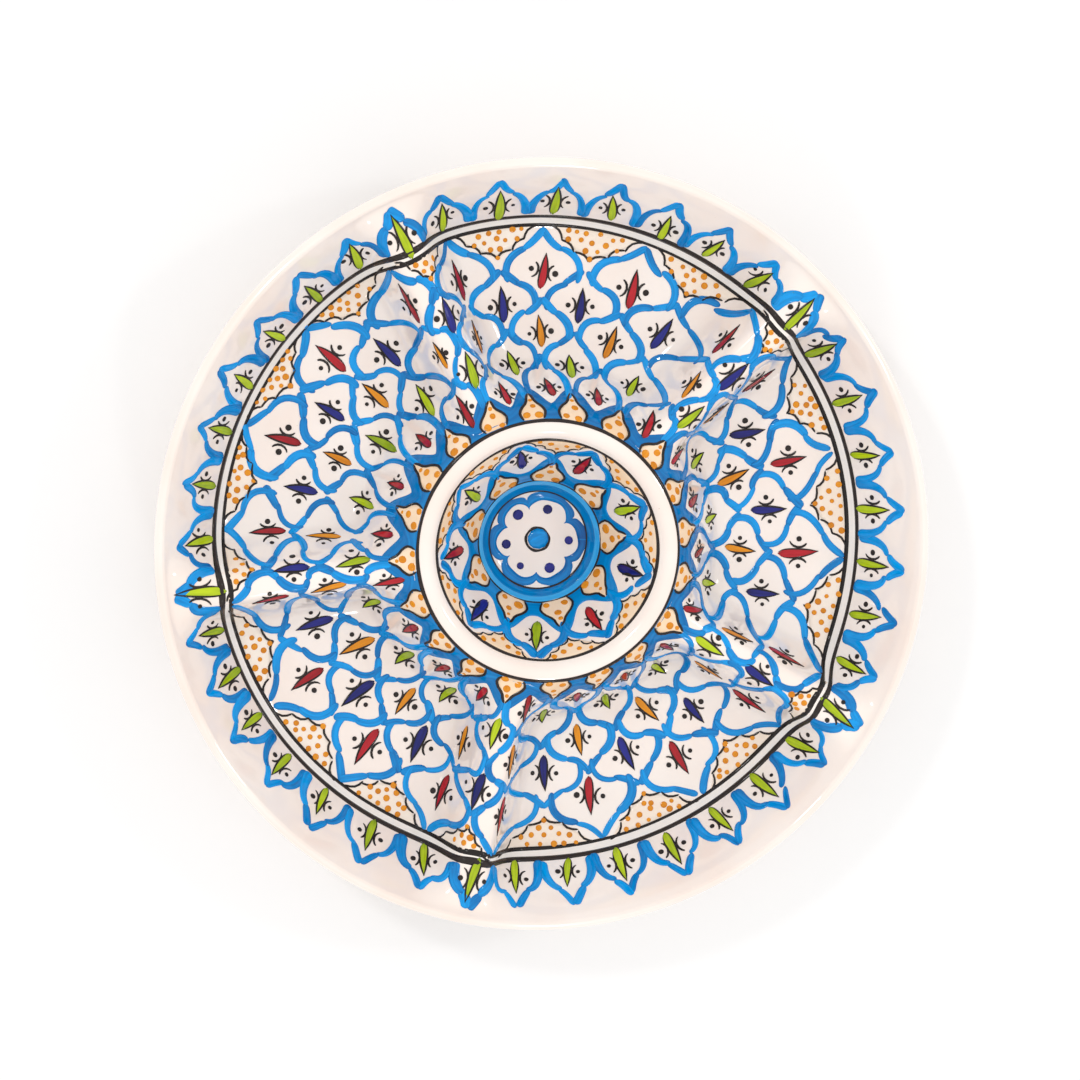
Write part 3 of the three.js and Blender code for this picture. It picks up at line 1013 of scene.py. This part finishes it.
ROW_COLOURS = {
    "outer": ("red", RED),
    "second": ("navy", NAVY),
    "third": ("orange", ORANGE),
    "fourth": ("green", GREEN),
    "fifth": ("red", RED),
}
for label, (colour, finish) in ROW_COLOURS.items():
    row = SCALE_ROWS[label]
    centres = lattice(row["first"] + np.arange(COLUMNS), np.full(COLUMNS, row["eye"]))
    shape = row["size"], row["stretch"], row["full"]
    paint_eyes(f"{label}_row_{colour}", finish, f"{colour}_brushwork", centres, *shape)
rim_eyes = rim_place(rim_columns, np.full(RIM_PETALS, RIM_EYE_RADIUS))
paint_eyes("rim_green", GREEN, "green_brushwork", rim_eyes, 0.88, 1.3, 1.15)

# %% [markdown]
# ## The dip bowl and its ring
# The bowl has its own pattern: a dotted white flower on its floor, a broad blue band, nine domed
# petals and nine scales up the wall, and peach in the corners under the ring, whose flat top stays
# bare between two black lines.

# %% The dip bowl
BOWL_SCALES = 9
FLOOR_EDGE = 21.6
BAND_EDGE = 26.9
RING_INSIDE = 47.3
BOWL_TURN = np.radians(24.0)
FLOWER_RADIUS = 19.9
FLOWER_PINCH = 4.2
FLOWER_PINCHES = np.radians([30.0, 105.0, 158.0, 210.0, 268.0, 326.0, 390.0])


def bowl_place(column, radius):
    """Plan point in the bowl, where nine even columns go round."""
    return from_polar(radius, BOWL_TURN + np.asarray(column) * FULL_TURN / BOWL_SCALES)


def flower_radius(angle):
    """Middle of the blue stroke round the flower: FLOWER_RADIUS at each lobe's middle, and less
    by FLOWER_PINCH at each pinch, with the square root of a half wave between two pinches."""
    turned_angle = FLOWER_PINCHES[0] + np.mod(angle - FLOWER_PINCHES[0], FULL_TURN)
    lobe = np.abs(np.sin(np.pi * np.interp(turned_angle, FLOWER_PINCHES, np.arange(7))))
    return FLOWER_RADIUS - FLOWER_PINCH * (1.0 - np.sqrt(lobe))


# The flower: its blue outline, six navy dots and the blue dot in its middle.
angle = np.linspace(0.0, FULL_TURN, 241)[:-1]
half = 2.0 + 0.3 * np.sin(5 * angle) + 0.2 * np.sin(11 * angle + 1.0)
inner = from_polar(flower_radius(angle) - half, angle)
outer = from_polar(np.minimum(flower_radius(angle) + half, FLOOR_EDGE), angle)
band = wash(inner[None], outer[None], 4, PAINT, closed=True)
paint_piece("flower_band", [band], BLUE)
dots = from_polar(13.9, np.radians([-3.0, 71.0, 128.0, 188.0, 237.0, 293.0]))
paint_piece("flower_dots", [spots_at(dots, 1.9)], NAVY)
paint_piece("centre_dot", [spots_at(np.array([[0.3, 0.2]]), 4.7)], BLUE)
BOWL_LINES = ((5.1, 1.1), (FLOOR_EDGE, 0.7), (BAND_EDGE, 0.6), (RING_INSIDE, 1.0), (55.7, 1.3))
lines = [wheel_line(radius, width) for radius, width in BOWL_LINES]
paint_piece("wheel_lines", lines, BLACK)
circle = np.arange(240) / 240 * FULL_TURN
BOWL_BANDS = {"inner": (21.7, 24.9, BLUE_WASH), "outer": (24.6, BAND_EDGE, BLUE_PALE)}
for label, (inner_radius, outer_radius, finish) in BOWL_BANDS.items():
    edges = [from_polar(radius, circle)[None] for radius in (inner_radius, outer_radius)]
    band = wash(*edges, 8, BAND_LIFT, closed=True)
    paint_piece(f"bowl_band_{label}", [band], finish)


CORNER_EDGE = np.array([(0.0, 40.6), (0.16, 42.6), (0.3, 44.6), (0.44, 47.2)])
CORNER_DOTS = ((0.0, 43.0), (-0.12, 44.9), (0.1, 45.2), (-0.26, 46.0), (0.25, 46.2))

# The peach corners under the ring: washes, their black scallops and a few orange dots.
bowl_columns = np.arange(BOWL_SCALES) + 0.0
between = bowl_columns + 0.5
place = np.linspace(-0.42, 0.42, 21)
column = between[:, None] + place
low = np.interp(np.abs(place), CORNER_EDGE[:, 0], CORNER_EDGE[:, 1])
low = bowl_place(column, np.broadcast_to(low, column.shape))
high = bowl_place(column, np.full(column.shape, RING_INSIDE))
paint_piece("bowl_corner_wash", [wash(low, high, 6)], PETAL)
lines = scallops(CORNER_EDGE, between, bowl_place, 6, 0.9, 0.5, 0.2)
dots = []
for across, radius in CORNER_DOTS:
    spread = rng.normal(0.0, 0.2, BOWL_SCALES)
    dots.append(spots_at(bowl_place(between + across, radius + spread), 1.15))
paint_piece("bowl_corner_scallops", lines, BLACK)
paint_piece("bowl_corner_dots", dots, ORANGE)

# The blue ground above the band: up to 32 mm under each scale, 39 mm between two.
column = np.linspace(0.0, BOWL_SCALES, 241)[:-1]
inner = bowl_place(column, np.full(column.shape, 26.6))
outer = bowl_place(column, 31.8 + 7.0 * np.abs(np.sin(np.pi * column)) ** 2.6)
ground = wash(inner[None], outer[None], 10, WASH, closed=True)
paint_piece("bowl_ground", [ground], BLUE_WASH)
bowl_tips = 45.6 + rng.normal(0.0, 0.4, BOWL_SCALES)
bowl_valleys = np.full(BOWL_SCALES, 35.5)
bowl_parts = scale_strokes(bowl_columns, bowl_tips, bowl_valleys, 3.9, bowl_place, 0.5, BOWL_LOBE)
paint_piece("bowl_scales", bowl_parts, BLUE)
petal_base = np.full(BOWL_SCALES, 27.2)
petal_tips = 36.4 + rng.normal(0.0, 0.3, BOWL_SCALES)
paint_petals("bowl_petals", between, petal_base, petal_tips, 0.36, bowl_place, BOWL_DOTS)
for start, (colour, finish) in enumerate((("green", GREEN), ("red", RED), ("navy", NAVY))):
    centres = bowl_place(bowl_columns[start::3], np.full(3, 39.0))
    paint_eyes(f"bowl_{colour}", finish, f"{colour}_brushwork", centres, 0.72, 1.4, 1.5)

# %% [markdown]
# ## Camera
# The camera looks down almost along the plate's axis, leaning about eleven degrees, through a
# lens long enough to keep the rim round.

# %% Camera
FOCAL = 80.0
SENSOR = 36.0
DISTANCE = 1012.0
LEAN = np.radians(10.9)
LEAN_SIDE = np.array([-0.671, 0.741])
AIM = Vector((-4.2, 5.5, 0.0))


# The camera stands DISTANCE from the middle of the lip's plane, leans LEAN from the axis towards
# LEAN_SIDE and looks at AIM from that middle, with +Y upwards in its view.
middle = Vector((0.0, 0.0, LIP_TOP))
stand = middle + DISTANCE * Vector((*(LEAN_SIDE * np.sin(LEAN)), np.cos(LEAN)))
back = (stand - (middle + AIM)).normalized()
right = Vector((0.0, 1.0, 0.0)).cross(back).normalized()
turn = Matrix((right, back.cross(right), back)).transposed().to_4x4()
data = bpy.data.cameras.new("camera")
data.lens = FOCAL
data.sensor_width = SENSOR
data.clip_end = 20.0
camera = bpy.data.objects.new("camera", data)
camera.matrix_world = Matrix.Translation(stand / METRE) @ turn
bpy.context.scene.collection.objects.link(camera)
bpy.context.scene.camera = camera
print("camera stands in millimetres at", stand)

# %% [markdown]
# ## Floor and light
# An even white sky and three small soft lamps light the plate, which stands on a pale floor. The
# lamps leave bright streaks on the ridges, where glossy glaze turns quickly.

# %% Floor and light
LAMP_WIDTH = 0.16
SKY = 0.95

# Each lamp's place in metres and its power in watts.
LAMPS = {
    "key": ((-0.9, 0.9, 1.5), 4.0),
    "fill": ((1.3, 0.4, 1.3), 2.2),
    "back": ((0.2, -1.5, 1.2), 2.2),
}


# A square floor, level with the foot ring, that reaches 4 m to each side.
mesh = bpy.data.meshes.new("floor")
corners = [(-4.0, -4.0, 0.0), (4.0, -4.0, 0.0), (4.0, 4.0, 0.0), (-4.0, 4.0, 0.0)]
mesh.from_pydata(corners, [], [(0, 1, 2, 3)])
mesh.materials.append(Finish("floor", base_color=(0.95, 0.95, 0.95, 1.0), roughness=0.9).material)
floor = bpy.data.objects.new("floor", mesh)
bpy.context.scene.collection.objects.link(floor)

world = bpy.data.worlds.new("studio")
world.use_nodes = True
world.node_tree.nodes["Background"].inputs["Color"].default_value = (1.0, 1.0, 1.0, 1.0)
world.node_tree.nodes["Background"].inputs["Strength"].default_value = SKY
bpy.context.scene.world = world
for name, (spot, power) in LAMPS.items():
    data = bpy.data.lights.new(name, "AREA")
    data.size = LAMP_WIDTH
    data.energy = power
    lamp = bpy.data.objects.new(name, data)
    lamp.location = spot
    lamp.rotation_euler = Vector(spot).to_track_quat("Z", "Y").to_euler()
    bpy.context.scene.collection.objects.link(lamp)
bpy.context.scene.view_settings.view_transform = "Standard"
print("lamps", list(LAMPS))
